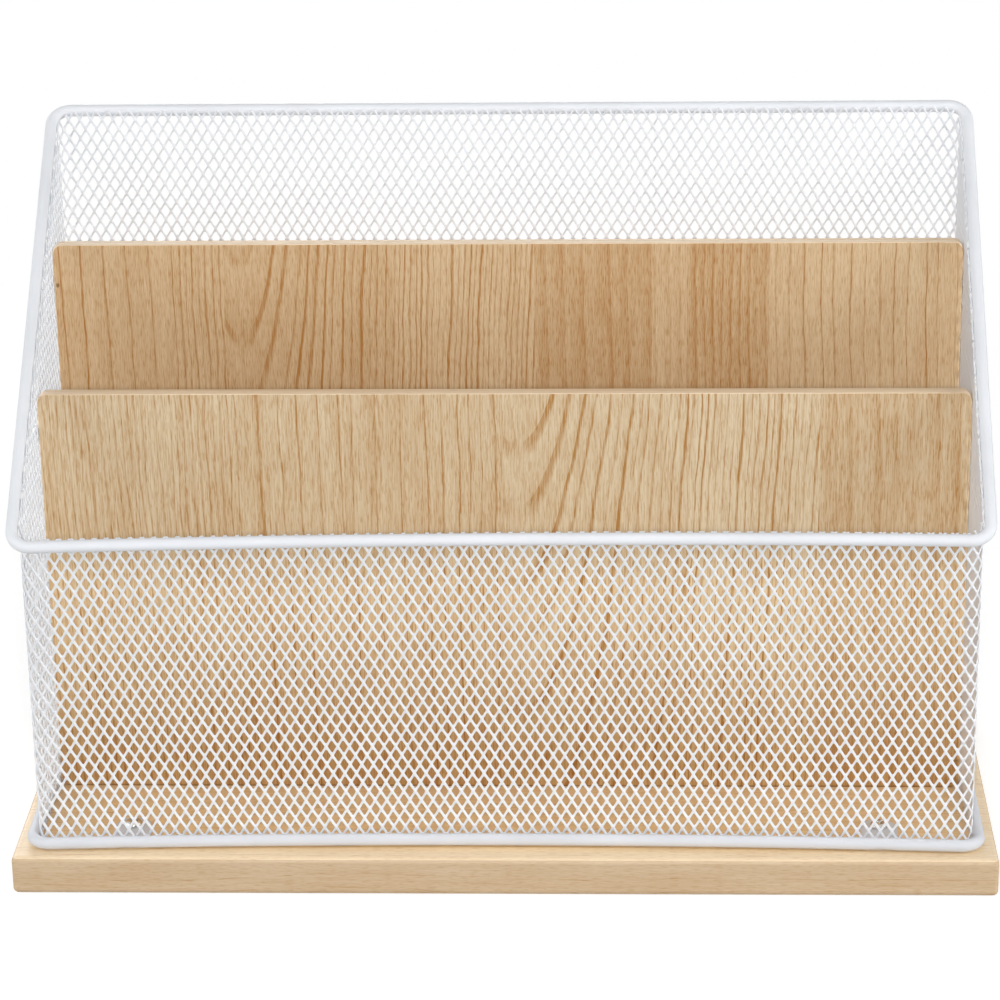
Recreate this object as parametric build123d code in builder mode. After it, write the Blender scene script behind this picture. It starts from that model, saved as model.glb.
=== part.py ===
from build123d import *
import os

# Letter sorter: a white mesh basket on a wooden base board, with two wooden dividers that make three slots.
# Origin at the centre of the board's underside, +X to the right, -Y to the low front, +Z up, in millimetres.

# Base board
board_width = 320
board_thickness = 13
board_edge_radius = 1.8
board_margin = 3.9  # from the board's edge to the outside of the basket wire

# Slots, measured clear between the faces that bound them, from the front to the back
front_slot = 45.5
middle_slot = 41.5
rear_slot = 26.9

# Dividers
divider_thickness = 5
front_divider_drop = 9.6  # from the sloping rim's centreline down to the divider's top edge
rear_divider_drop = 11
divider_corner_radius = 3.2
divider_clearance = 0.1  # from each end of a divider to the mesh

# Edging, a thin strip glued round the edges of the board and of the dividers
edging_thickness = 0.5

# Basket wire, bent into the top rim and the bottom ring
wire_diameter = 4
wire_bend_radius = 6  # of the wire's centreline
front_height = 109  # from the board to the rim's centreline
back_height = 214
ring_clearance = 0.5  # from the board to the ring, which hangs on its tabs

# Mesh sheet, welded to the inner side of the wire
mesh_thickness = 0.6
mesh_tip = 1.2  # from the rim's centreline up to the cut edge of the sheet
mesh_border = 2.5  # least width of sheet between a gap and an edge
weld_clearance = 0.05  # from the wire to the sheet
gap_pitch_x = 15.6  # the gaps stand in staggered rows, drawn larger than the sheet's own fine ones
gap_pitch_z = 25.4
gap_open_share = 0.66  # of the pitch, in both directions

# Tabs, welded to the ring and screwed to the board
tab_width = 12
tab_thickness = 1.2
tab_reach = 16.1  # from the ring's centreline to the tab's screw
tab_inset = 31.6  # from the ring's side to the tab's middle
tab_clearance = 0.1  # from the tab up to the mesh

# Pan head wood screws
screw_diameter = 2.6
screw_length = 10
screw_tip_length = 2
screw_head_diameter = 5.8
screw_head_height = 2
screw_head_round_share = 0.7  # of the head's height
screw_clearance = 0.1  # around the shank and past its tip
recess_length = 3.2
recess_width = 0.8
recess_depth = 1.1
divider_screw_top_inset = 14  # from the divider's top edge
divider_screw_bottom_inset = 10  # from the board

# How far a cutting shape runs past what it cuts
cut_overrun = 1

# The wire's centreline and the faces of the sheet inside it
wire_radius = wire_diameter / 2
sheet_setback = wire_radius + weld_clearance
slots_depth = front_slot + middle_slot + rear_slot + 2 * divider_thickness
inner_half_depth = slots_depth / 2
mesh_half_depth = inner_half_depth + mesh_thickness
ring_half_depth = mesh_half_depth + sheet_setback
board_depth = 2 * (ring_half_depth + wire_radius + board_margin)
ring_half_width = board_width / 2 - board_margin - wire_radius
mesh_half_width = ring_half_width - sheet_setback
inner_half_width = mesh_half_width - mesh_thickness
mesh_bend_radius = wire_bend_radius - sheet_setback
flat_half_width = mesh_half_width - mesh_bend_radius
flat_half_depth = mesh_half_depth - mesh_bend_radius

# Heights above the board's underside
board_top = board_thickness
ring_level = board_top + ring_clearance + wire_radius
front_rim_level = board_top + front_height
back_rim_level = board_top + back_height
mesh_bottom = board_top + tab_thickness + tab_clearance
rim_slope = (back_height - front_height) / (2 * ring_half_depth)

# Screws
screw_radius = screw_diameter / 2
screw_head_radius = screw_head_diameter / 2
pilot_radius = screw_radius + screw_clearance
half_gap_x = gap_open_share * gap_pitch_x / 2
half_gap_z = gap_open_share * gap_pitch_z / 2


def rim_level(y):
    """Height of the sloping rim's centreline at a depth."""
    return front_rim_level + rim_slope * (y + ring_half_depth)


# Each divider's label, the depth of its middle and the height of its top edge
front_divider_y = -inner_half_depth + front_slot + divider_thickness / 2
rear_divider_y = inner_half_depth - rear_slot - divider_thickness / 2
dividers = [
    ("front_divider", front_divider_y, rim_level(front_divider_y) - front_divider_drop),
    ("rear_divider", rear_divider_y, rim_level(rear_divider_y) - rear_divider_drop),
]


def divider_screw_planes(middle_y, top):
    """Planes of a divider's screws, facing out, on the outer faces of the side walls."""
    return [
        Plane((side * mesh_half_width, middle_y, z), x_dir=(0, 1, 0), z_dir=(side, 0, 0))
        for side in (-1, 1)
        for z in (board_top + divider_screw_bottom_inset, top - divider_screw_top_inset)
    ]


screw_planes = [plane for _, y, top in dividers for plane in divider_screw_planes(y, top)]
screw_hole_depth = screw_length + screw_clearance
tab_x = ring_half_width - tab_inset
tab_screw_y = ring_half_depth - tab_reach
tab_screw_points = [(x * tab_x, y * tab_screw_y) for x in (-1, 1) for y in (-1, 1)]


def gap_centres(half_length, top_at, screw_points=()):
    """Centres of the staggered gaps in a wall, clear of its edges and of the heads of its screws."""
    step_x = gap_pitch_x / 2
    step_z = gap_pitch_z / 2
    head_reach_x = half_gap_x + screw_head_radius
    head_reach_z = half_gap_z + screw_head_radius

    def inside(x, z):
        peak_room = top_at(x) - z - half_gap_z
        shoulder_room = min(top_at(x - half_gap_x), top_at(x + half_gap_x)) - z
        end_room = half_length - abs(x) - half_gap_x
        return min(peak_room, shoulder_room, end_room) >= mesh_border

    def under_head(x, z):
        return any(abs(x - a) / head_reach_x + abs(z - b) / head_reach_z < 1 for a, b in screw_points)

    columns = int(half_length / step_x)
    rows = int(back_height / step_z)
    first_level = mesh_bottom + mesh_border + half_gap_z
    places = [
        (column * step_x, first_level + row * step_z)
        for row in range(rows)
        for column in range(-columns, columns + 1)
        if (row + column) % 2 == 0
    ]
    return [place for place in places if inside(*place) and not under_head(*place)]


gap_outline = [(-half_gap_x, 0), (0, -half_gap_z), (half_gap_x, 0), (0, half_gap_z)]

os.makedirs("parts", exist_ok=True)

# Board and its edging together, with eased edges
with BuildPart() as board_blank:
    with BuildSketch(Plane.XY):
        Rectangle(board_width, board_depth)
    extrude(amount=board_thickness)
    fillet(board_blank.edges(), board_edge_radius)

# Base board inside its edging, with a pilot hole under each tab
board_core_size = (board_width - 2 * edging_thickness, board_depth - 2 * edging_thickness)
board_core_corner_radius = board_edge_radius - edging_thickness
with BuildPart() as base_board:
    add(board_blank.part)
    with BuildSketch(Plane.XY):
        RectangleRounded(*board_core_size, board_core_corner_radius)
    extrude(amount=board_thickness, mode=Mode.INTERSECT)
    with Locations(*[(x, y, board_top + tab_thickness) for x, y in tab_screw_points]):
        Hole(pilot_radius, screw_hole_depth)
base_board.part.label = "base_board"
export_step(base_board.part, "parts/base_board.step")

# Board edging
with BuildPart() as board_edging:
    add(board_blank.part)
    with BuildSketch(Plane.XY):
        RectangleRounded(*board_core_size, board_core_corner_radius)
    extrude(amount=board_thickness, mode=Mode.SUBTRACT)
board_edging.part.label = "board_edging"
export_step(board_edging.part, "parts/board_edging.step")

# Dividers inside their edging, standing on the board, with pilot holes in their ends
divider_width = 2 * (inner_half_width - divider_clearance)
for label, middle_y, top in dividers:
    divider_plane = Plane((0, middle_y, (board_top + top) / 2), x_dir=(1, 0, 0), z_dir=(0, -1, 0))
    outer_size = (divider_width, top - board_top)
    core_size = [length - 2 * edging_thickness for length in outer_size]
    core_corner_radius = divider_corner_radius - edging_thickness
    with BuildPart() as divider:
        with BuildSketch(divider_plane):
            RectangleRounded(*core_size, core_corner_radius)
        extrude(amount=divider_thickness / 2, both=True)
        with Locations(*divider_screw_planes(middle_y, top)):
            Hole(pilot_radius, screw_hole_depth)
    divider.part.label = label
    export_step(divider.part, f"parts/{label}.step")

    with BuildPart() as edging:
        with BuildSketch(divider_plane):
            RectangleRounded(*outer_size, divider_corner_radius)
            RectangleRounded(*core_size, core_corner_radius, mode=Mode.SUBTRACT)
        extrude(amount=divider_thickness / 2, both=True)
        with Locations(*divider_screw_planes(middle_y, top)):
            Hole(pilot_radius, screw_hole_depth)
    edging.part.label = f"{label}_edging"
    export_step(edging.part, f"parts/{label}_edging.step")

# Front and back mesh walls: flat nets between the bent corners
for label, side, level in (("front_mesh", -1, front_rim_level), ("back_mesh", 1, back_rim_level)):
    wall_top = level + mesh_tip
    with BuildPart() as flat_wall:
        with BuildSketch(Plane.XZ.offset(-side * mesh_half_depth)):
            with Locations((0, mesh_bottom)):
                Rectangle(2 * flat_half_width, wall_top - mesh_bottom, align=(Align.CENTER, Align.MIN))
            with Locations(*gap_centres(flat_half_width, lambda x: wall_top)):
                Polygon(*gap_outline, mode=Mode.SUBTRACT)
        extrude(amount=side * mesh_thickness)
    flat_wall.part.label = label
    export_step(flat_wall.part, f"parts/{label}.step")

# Side mesh walls: sloping nets that carry the bent corners, drilled for the divider screws
screw_points = [(plane.origin.Y, plane.origin.Z) for plane in screw_planes]
side_gaps = gap_centres(flat_half_depth, lambda y: rim_level(y) + mesh_tip, screw_points)
for label, side in (("left_mesh", -1), ("right_mesh", 1)):
    with BuildPart() as side_wall:
        with BuildSketch(Plane.XY.offset(mesh_bottom)):
            RectangleRounded(2 * mesh_half_width, 2 * mesh_half_depth, mesh_bend_radius)
            RectangleRounded(
                2 * inner_half_width,
                2 * inner_half_depth,
                mesh_bend_radius - mesh_thickness,
                mode=Mode.SUBTRACT,
            )
            with Locations((side * (flat_half_width + mesh_half_width) / 2, 0)):
                Rectangle(mesh_bend_radius, 2 * mesh_half_depth, mode=Mode.INTERSECT)
        extrude(amount=back_rim_level - mesh_bottom)
        with BuildSketch(Plane.YZ):
            with BuildLine():
                Polyline(
                    (-mesh_half_depth, rim_level(-mesh_half_depth) + mesh_tip),
                    (mesh_half_depth, rim_level(mesh_half_depth) + mesh_tip),
                    (mesh_half_depth, mesh_bottom),
                    (-mesh_half_depth, mesh_bottom),
                    close=True,
                )
            make_face()
        extrude(amount=board_width, both=True, mode=Mode.INTERSECT)
        with BuildSketch(Plane.YZ):
            with Locations(*side_gaps):
                Polygon(*gap_outline)
            with Locations(*screw_points):
                Circle(pilot_radius)
        extrude(amount=side * (mesh_half_width + cut_overrun), mode=Mode.SUBTRACT)
    side_wall.part.label = label
    export_step(side_wall.part, f"parts/{label}.step")

# Top rim: level along the front and the back, sloping along the sides
with BuildPart() as top_rim:
    with BuildLine() as rim_path:
        FilletPolyline(
            (-ring_half_width, -ring_half_depth, front_rim_level),
            (ring_half_width, -ring_half_depth, front_rim_level),
            (ring_half_width, ring_half_depth, back_rim_level),
            (-ring_half_width, ring_half_depth, back_rim_level),
            radius=wire_bend_radius,
            close=True,
        )
    with BuildSketch(Plane(rim_path.line @ 0, z_dir=rim_path.line % 0)):
        Circle(wire_radius)
    sweep()
top_rim.part.label = "top_rim"
export_step(top_rim.part, "parts/top_rim.step")

# Bottom ring: a level loop of the same wire
with BuildPart() as bottom_ring:
    with BuildLine(Plane.XY.offset(ring_level)) as ring_path:
        FilletPolyline(
            (-ring_half_width, -ring_half_depth),
            (ring_half_width, -ring_half_depth),
            (ring_half_width, ring_half_depth),
            (-ring_half_width, ring_half_depth),
            radius=wire_bend_radius,
            close=True,
        )
    with BuildSketch(Plane(ring_path.line @ 0, z_dir=ring_path.line % 0)):
        Circle(wire_radius)
    sweep()
bottom_ring.part.label = "bottom_ring"
export_step(bottom_ring.part, "parts/bottom_ring.step")

# Tabs: tongues on the board, from the ring's inner side to a round end about the screw
for label, x_side, y_side in (
    ("front_left_tab", -1, -1),
    ("front_right_tab", 1, -1),
    ("rear_left_tab", -1, 1),
    ("rear_right_tab", 1, 1),
):
    with BuildPart() as tab:
        with BuildSketch(Plane.XY.offset(board_top)):
            with Locations((x_side * tab_x, y_side * (mesh_half_depth + tab_screw_y) / 2)):
                Rectangle(tab_width, mesh_half_depth - tab_screw_y)
            with Locations((x_side * tab_x, y_side * tab_screw_y)):
                Circle(tab_width / 2)
                Circle(pilot_radius, mode=Mode.SUBTRACT)
        extrude(amount=tab_thickness)
    tab.part.label = label
    export_step(tab.part, f"parts/{label}.step")

# One screw, point down, with the underside of its head at the origin
with BuildPart() as screw:
    with BuildSketch(Plane.XZ) as half_section:
        with BuildLine():
            Polyline(
                (0, screw_head_height),
                (screw_head_radius, screw_head_height),
                (screw_head_radius, 0),
                (screw_radius, 0),
                (screw_radius, screw_tip_length - screw_length),
                (0, -screw_length),
                close=True,
            )
        make_face()
        head_rim = half_section.vertices().group_by(Axis.Y)[-1].sort_by(Axis.X)[-1]
        fillet(head_rim, screw_head_round_share * screw_head_height)
    revolve(axis=Axis.Z)
    with BuildSketch(Plane.XY.offset(screw_head_height)):
        Rectangle(recess_length, recess_width)
        Rectangle(recess_width, recess_length)
    extrude(amount=-recess_depth, mode=Mode.SUBTRACT)

# Tab screws, down through the tabs into the board
with BuildPart() as tab_screws:
    with Locations(*[(x, y, board_top + tab_thickness) for x, y in tab_screw_points]):
        add(screw.part)
tab_screws.part.label = "tab_screws"
export_step(tab_screws.part, "parts/tab_screws.step")

# Divider screws, in through the side walls into the ends of the dividers
with BuildPart() as divider_screws:
    with Locations(*screw_planes):
        add(screw.part)
divider_screws.part.label = "divider_screws"
export_step(divider_screws.part, "parts/divider_screws.step")
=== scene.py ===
import math
from collections import namedtuple

import bmesh
import bpy
from bpy.props import FloatProperty, FloatVectorProperty, IntProperty, PointerProperty
from bpy.types import Operator, Panel, PropertyGroup
from mathutils import Matrix, Vector


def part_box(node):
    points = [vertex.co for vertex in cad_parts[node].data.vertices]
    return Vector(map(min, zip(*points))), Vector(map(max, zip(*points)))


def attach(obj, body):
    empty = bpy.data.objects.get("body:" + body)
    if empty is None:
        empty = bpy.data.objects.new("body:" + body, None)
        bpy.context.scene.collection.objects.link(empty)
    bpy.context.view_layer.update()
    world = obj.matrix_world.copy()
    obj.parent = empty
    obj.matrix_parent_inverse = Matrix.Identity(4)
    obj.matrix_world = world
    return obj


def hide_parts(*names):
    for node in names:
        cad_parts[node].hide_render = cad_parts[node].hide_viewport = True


bl_info = {
    "name": "Letter Sorter",
    "version": (1, 0, 0),
    "blender": (4, 5, 0),
    "location": "View3D > Sidebar > Letter Sorter",
    "description": "Dresses the packed letter sorter with its mesh sheet, wire, boards and screws",
    "category": "Object",
}

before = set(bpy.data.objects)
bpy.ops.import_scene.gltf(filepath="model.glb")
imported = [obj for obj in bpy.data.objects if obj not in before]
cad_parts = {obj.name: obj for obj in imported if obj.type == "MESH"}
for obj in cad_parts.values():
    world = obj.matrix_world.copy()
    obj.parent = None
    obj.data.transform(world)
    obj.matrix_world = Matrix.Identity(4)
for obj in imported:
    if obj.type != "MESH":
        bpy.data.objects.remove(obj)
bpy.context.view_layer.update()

MM = 0.001
UP = Vector((0, 0, 1))
BOW_STEPS = 20
SHEET_BEND_STEPS = 12
WIRE_BEND_STEPS = 16
TAPE_CORNER_STEPS = 10
TAB_STEPS = 24
SCREW_SEGMENTS = 32
FLOOR_REACH = 6
CHIP_INSET = 1.2 * MM
LAMP_AIM = Vector((0, 0, 0.1))

# Painted light and shade, and the millimetres over which each fades in or out: painted light on the coat of
# the back wall and of the lower strands, painted shade on the coat at the ring, painted light on the front
# divider below the rim, painted shade towards its foot and a painted shadow along its foot at the board, and
# painted shade on the base board inside the basket, sideways and in depth
BACK_PAINTED_LIGHT, BACK_LIGHT_FADE = (1.04, 1.04, 1.04), (50, 60)
SKIRT_PAINTED_LIGHT, SKIRT_LIGHT_START = (1.11, 1.1, 1.09), 15
RING_PAINTED_SHADE, RING_SHADE_END = (0.79, 0.8, 0.82), 3
BELOW_RIM_PAINTED_LIGHT, BELOW_RIM_LIGHT_FADE = (1.42, 1.39, 1.3), (72, 92)
FOOT_PAINTED_SHADE, FOOT_SHADE_FADE = (0.68, 0.56, 0.39), (10, 60)
FOOT_SHADOW_FADE = (0.3, 1.0)
INNER_PAINTED_SHADE, INNER_SHADE_FADES = (1.05, 0.97, 0.8), ((148, 154), (60, 66))

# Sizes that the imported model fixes
rim_low, rim_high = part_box("top_rim")
ring_low, ring_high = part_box("bottom_ring")
front_low, front_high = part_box("front_mesh")
side_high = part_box("right_mesh")[1]
back_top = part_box("back_mesh")[1].z
board_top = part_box("base_board")[1].z
wire_radius = (ring_high.z - ring_low.z) / 2
sheet_gauge = front_high.y - front_low.y
sheet_half_width = side_high.x - sheet_gauge / 2
sheet_half_depth = side_high.y - sheet_gauge / 2
flat_half_width = front_high.x
sheet_bend_radius = sheet_half_width - flat_half_width
wire_bend_radius = ring_high.x - wire_radius - flat_half_width

# A stave of a divider's grain: its left edge and its heart from the divider's middle, the heart's depth
# behind the face at the board and how that changes upwards, the spacing and sideways drift of its rings, its
# stain, and the strength of its lines and of its soft bands. Lengths are in millimetres
Stave = namedtuple("Stave", "start heart depth tilt spacing drift stain lines band")

FRONT_STAVES = (
    Stave(-152, -330, 0, 0, 2.3, 0.05, 0.01, 0.55, 0.3),
    Stave(-111, -300, 0, 0, 2.3, 0.02, 0.01, 0.6, 0.3),
    Stave(-86, -300, 0, 0, 6.5, 0.025, 0.08, 0.9, 0.35),
    Stave(-53, -260, 0, 0, 8.0, 0.01, 0.08, 0.85, 0.5),
    Stave(-21, -240, 0, 0, 4.2, 0, 0.08, 0.95, 0.4),
    Stave(0, 4.5, 47.4, -0.11, 2.6, 0, -0.05, 0.95, 0.6),
    Stave(60, -200, 0, 0, 2.4, -0.055, -0.09, 0.95, 0.2),
    Stave(102, -240, 0, 0, 6.8, 0.02, 0.15, 0.35, 0.8),
)
REAR_STAVES = (
    Stave(-152, -320, 0, 0, 7.4, 0.015, 0.08, 0.95, 0.35),
    Stave(-111, -300, 0, 0, 2.2, 0.01, 0.05, 0.75, 0.3),
    Stave(-95, -89, 38, -0.09, 2.5, 0, 0.08, 0.95, 0.6),
    Stave(-38, -240, 0, 0, 1.9, -0.045, -0.03, 0.95, 0.2),
    Stave(8.6, -260, 0, 0, 7.0, 0.02, 0.2, 0.4, 0.9),
    Stave(48, -150, 0, 0, 4.0, 0.01, 0.04, 0.5, 0.6),
    Stave(60, -150, 0, 0, 3.0, 0.01, 0.2, 0.55, 0.8),
    Stave(87, -100, 0, 0, 4.9, 0.02, -0.02, 0.9, 0.3),
)


def length_setting(name, description, millimetres):
    return FloatProperty(name=name, description=description, default=millimetres * MM, unit="LENGTH")


def angle_setting(name, description, degrees):
    return FloatProperty(name=name, description=description, default=math.radians(degrees), subtype="ANGLE")


def power_setting(name, description, watts):
    return FloatProperty(name=name, description=description, default=watts, unit="POWER")


def colour_setting(name, description, default):
    return FloatVectorProperty(
        name=name, description=description, default=default, subtype="COLOR", min=0, max=1
    )


class SheetSettings(PropertyGroup):
    """The expanded steel sheet."""

    columns: IntProperty(name="Columns", description="Diamonds in one row round the basket", default=226)
    pitch_up: length_setting("Pitch Up", "Height of a diamond, knot to knot", 6.42)
    strand_width: length_setting("Strand Width", "Width of a strand across its run", 0.67)
    back_strand_width: length_setting("Back Strand Width", "Width of a strand in the back wall", 0.52)
    strand_gauge: length_setting("Strand Gauge", "Thickness of a coated strand", 0.46)
    fillet: length_setting("Fillet", "Radius of coat in the corners of a gap", 0.4)
    bulge: length_setting("Bulge", "How far a strand's side is rounded out", 0.06)
    tilt: angle_setting("Tilt", "Turn of each strand out of the sheet", 16)
    lean: angle_setting("Lean", "Lean of the knot columns", -1.05)
    top_drop: length_setting("Top Drop", "How far the strands end short of the back wall's top edge", 0.8)
    tip_rise: length_setting("Tip Rise", "How far the snipped tips stand over the front wall's edge", 0.35)
    knot_level: length_setting("Knot Level", "From the sheet's bottom edge up to a row of knots", 1.4)
    knot_place: length_setting("Knot Place", "From the middle of the front to a column of knots", 0.3)
    build_up: length_setting("Build-up", "Extra coat on each side of the lowest strands", 0.04)
    build_up_height: length_setting("Build-up Height", "Height at which the extra coat has faded out", 50)


class WireSettings(PropertyGroup):
    """The rim and ring wire, and the tabs welded to the ring."""

    sides: IntProperty(name="Sides", description="Faces round the wire", default=24, min=8)
    step: length_setting("Step", "Length of a face along the wire", 0.75)
    dent_depth: length_setting("Dent Depth", "Depth of the press mark under the ring at a tab", 0.7)
    dent_length: length_setting("Dent Length", "Length of the press mark along the ring", 9)
    bow: length_setting("Bow", "How far the front is drawn in at its middle", 3.8)
    dip: length_setting("Dip", "How low the rim sits at its front left corner", 2.5)
    tab_easing: length_setting("Tab Easing", "Rounding of a tab's edges", 0.3)
    tab_overlap: length_setting("Tab Overlap", "How far a tab runs on under the ring", 0.4)


class ScrewSettings(PropertyGroup):
    """The pan head screws."""

    head_radius: length_setting("Head Radius", "Radius of the head", 2.9)
    head_height: length_setting("Head Height", "Height of the head", 2)
    shank_radius: length_setting("Shank Radius", "Radius of the shank", 1.3)
    length: length_setting("Length", "Length under the head", 10)
    recess_length: length_setting("Recess Length", "Length of the cross recess", 3.2)
    recess_width: length_setting("Recess Width", "Width of a wing of the recess", 0.8)
    recess_depth: length_setting("Recess Depth", "Depth of the recess", 1.1)
    lower_inset: length_setting("Lower Inset", "From the board to a divider's lower screws", 10)
    upper_inset: length_setting("Upper Inset", "From a divider's top to its upper screws", 14)
    seed: IntProperty(name="Seed", description="Seed of the turn that each screw stopped at", default=4)


class BoardSettings(PropertyGroup):
    """The wood-look boards and their edging."""

    tape_easing: length_setting("Tape Easing", "Rounding of the edging's outer edges", 0.3)
    corner_radius: length_setting("Corner Radius", "Radius of a divider's corners", 3.2)
    light: colour_setting("Light Wood", "Colour between the grain lines", (0.712, 0.588, 0.4))
    dark: colour_setting("Dark Wood", "Colour of the grain lines", (0.41, 0.19, 0.035))
    # The base board's face is paler than its edging as painted light from above
    base: colour_setting("Base Wood", "Colour of the base board's face", (0.93, 0.745, 0.51))
    base_edge: colour_setting("Base Edging", "Colour of the base board's edging", (0.713, 0.563, 0.383))
    # The rear divider's deeper colour is partly its own tone and partly painted shade
    rear_tone_and_shade: colour_setting("Rear Tint", "How the rear divider's wood differs", (1.0, 0.92, 0.83))
    # The dividers' edging is paler than their face wood, partly as its own pale tape and partly as painted
    # sheen and light on the top edge
    tape: colour_setting("Edging", "Colour of the dividers' edging", (0.9, 0.71, 0.5))
    amber: colour_setting("Amber", "Colour of the edging's back edge", (0.74, 0.53, 0.3))


class FinishSettings(PropertyGroup):
    """The white coat and the zinc plate."""

    coat: colour_setting("Coat", "Colour of the powder coat", (0.815, 0.835, 0.87))
    zinc: colour_setting("Zinc", "Colour of the screws", (0.85, 0.85, 0.84))


class StageSettings(PropertyGroup):
    """The floor, the lamps and the camera."""

    camera_place: FloatVectorProperty(
        name="Camera", description="Place of the camera", default=(0.043115, -1.082095, 0.527655),
        subtype="TRANSLATION",
    )
    yaw: angle_setting("Yaw", "Turn of the camera to the left", 2.3822)
    pitch: angle_setting("Pitch", "Downward tilt of the camera", 21.0709)
    roll: angle_setting("Roll", "Roll of the camera", -0.9103)
    lens: FloatProperty(name="Lens", description="Focal length in millimetres", default=125.893)
    sky: FloatProperty(name="Sky", description="Strength of the light from all round", default=0.17)
    key: power_setting("Key", "Power of the large lamp over the front", 4)
    flash: power_setting("Flash", "Power of the small lamp at the camera", 5.3)
    right: power_setting("Right", "Power of the lamp on the right", 10)
    left: power_setting("Left", "Power of the lamp on the left", 8)
    back: power_setting("Back", "Power of the lamp behind the object", 20)
    floor: colour_setting("Floor", "Colour of the floor", (0.55, 0.55, 0.55))
    glow: FloatProperty(
        name="Floor Glow", description="White that the camera sees added to the floor", default=0.62
    )
    clear_from: length_setting("Clear From", "Distance at which the floor starts to turn plain white", 350)
    clear_to: length_setting("Clear To", "Distance from which the floor is plain white", 650)


class SorterSettings(PropertyGroup):
    """All that a user would change."""

    sheet: PointerProperty(type=SheetSettings)
    wire: PointerProperty(type=WireSettings)
    screw: PointerProperty(type=ScrewSettings)
    board: PointerProperty(type=BoardSettings)
    finish: PointerProperty(type=FinishSettings)
    stage: PointerProperty(type=StageSettings)


class Tree:
    """Short calls for the nodes of a material or of a Geometry Nodes tree."""

    def __init__(self, tree):
        self.tree = tree

    def add(self, kind, inputs=(), **settings):
        """A new node's outputs. Inputs are values or other nodes' outputs, by name or number."""
        node = self.tree.nodes.new(kind)
        for name, value in settings.items():
            setattr(node, name, value)
        for key, value in dict(inputs).items():
            if isinstance(value, bpy.types.NodeSocket):
                self.tree.links.new(value, node.inputs[key])
            else:
                node.inputs[key].default_value = value
        return node.outputs

    def math(self, operation, *values):
        return self.add("ShaderNodeMath", enumerate(values), operation=operation)[0]

    def plus(self, first, second):
        return self.math("ADD", first, second)

    def minus(self, first, second):
        return self.math("SUBTRACT", first, second)

    def times(self, first, second):
        return self.math("MULTIPLY", first, second)

    def times_plus(self, first, second, third):
        return self.math("MULTIPLY_ADD", first, second, third)

    def size(self, value):
        return self.math("ABSOLUTE", value)

    def vector(self, operation, *values):
        return self.add("ShaderNodeVectorMath", enumerate(values), operation=operation)[0]

    def scaled(self, vector, factor):
        return self.add("ShaderNodeVectorMath", {0: vector, "Scale": factor}, operation="SCALE")[0]

    def distance(self, vector):
        return self.add("ShaderNodeVectorMath", {0: vector}, operation="LENGTH")["Value"]

    def split(self, vector):
        return tuple(self.add("ShaderNodeSeparateXYZ", {0: vector}))

    def join(self, x=0.0, y=0.0, z=0.0):
        return self.add("ShaderNodeCombineXYZ", {0: x, 1: y, 2: z})[0]

    def place(self):
        """Where a point of the surface is on its object."""
        return self.add("ShaderNodeTexCoord")["Object"]

    def millimetres(self):
        """The same as three numbers in millimetres."""
        return self.split(self.scaled(self.place(), 1 / MM))

    def span(self, value, low, high, to_low=0.0, to_high=1.0, **settings):
        """A value moved from one range to another, and kept inside it."""
        numbers = enumerate((value, low, high, to_low, to_high))
        return self.add("ShaderNodeMapRange", numbers, **settings)[0]

    def fade_out(self, value, full, gone, most=1.0):
        """The most up to a first place, and 0 from a second one."""
        return self.span(value, full, gone, most, 0.0)

    def noise(self, vector, scale, detail):
        return self.add("ShaderNodeTexNoise", {"Vector": vector, "Scale": scale, "Detail": detail})["Fac"]

    def stretched(self, across, along, across_scale, along_scale, depth, detail):
        """Noise drawn out along the grain."""
        place = self.join(self.times(across, across_scale), depth, self.times(along, along_scale))
        return self.noise(place, 1, detail)

    def chance(self, value):
        """One number between 0 and 1 for each whole number."""
        whole = self.math("FLOOR", value)
        return self.add("ShaderNodeTexWhiteNoise", {"W": whole}, noise_dimensions="1D")[0]

    def blend(self, factor, first, second, blend_type="MIX"):
        """Two colours mixed."""
        inputs = {0: factor, 6: first, 7: second}
        return self.add("ShaderNodeMix", inputs, data_type="RGBA", blend_type=blend_type)[2]

    def tinted(self, share, colour, tint):
        """A colour times a tint, where its share is 1."""
        return self.blend(share, colour, colour_of(tint), "MULTIPLY")

    def total(self, start, *parts):
        """A sum of values, each times its share, kept between 0 and 1."""
        for value, share in parts:
            start = self.times_plus(value, share, start)
        return self.add("ShaderNodeClamp", {0: start})[0]

    def steps(self, value, stops):
        """The four numbers that belong to the last stop at or before a value."""
        outputs = self.add("ShaderNodeValToRGB", {"Fac": value})
        ramp = outputs[0].node.color_ramp
        ramp.interpolation = "CONSTANT"
        for number, (place, values) in enumerate(stops):
            stop = ramp.elements[number] if number < 2 else ramp.elements.new(place)
            stop.position = place
            stop.color = values
        red, green, blue = self.add("ShaderNodeSeparateColor", {0: outputs["Color"]})
        return red, green, blue, outputs["Alpha"]


def new_material(name, constants):
    """A material, its tree and its shader, with the constants set on the shader's own sockets."""
    material = bpy.data.materials.new(name)
    material.use_nodes = True
    shader = material.node_tree.nodes["Principled BSDF"]
    for key, value in constants.items():
        shader.inputs[key].default_value = value
    return material, Tree(material.node_tree), shader


def link_surface(tree, shader, colour, roughness, height, distance, strength):
    """Joins what varies over a surface to its shader, with the depth and strength of its relief."""
    bump = tree.add("ShaderNodeBump", {"Height": height, "Distance": distance, "Strength": strength})[0]
    for key, value in (("Base Color", colour), ("Roughness", roughness), ("Normal", bump)):
        tree.tree.links.new(value, shader.inputs[key])


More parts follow.
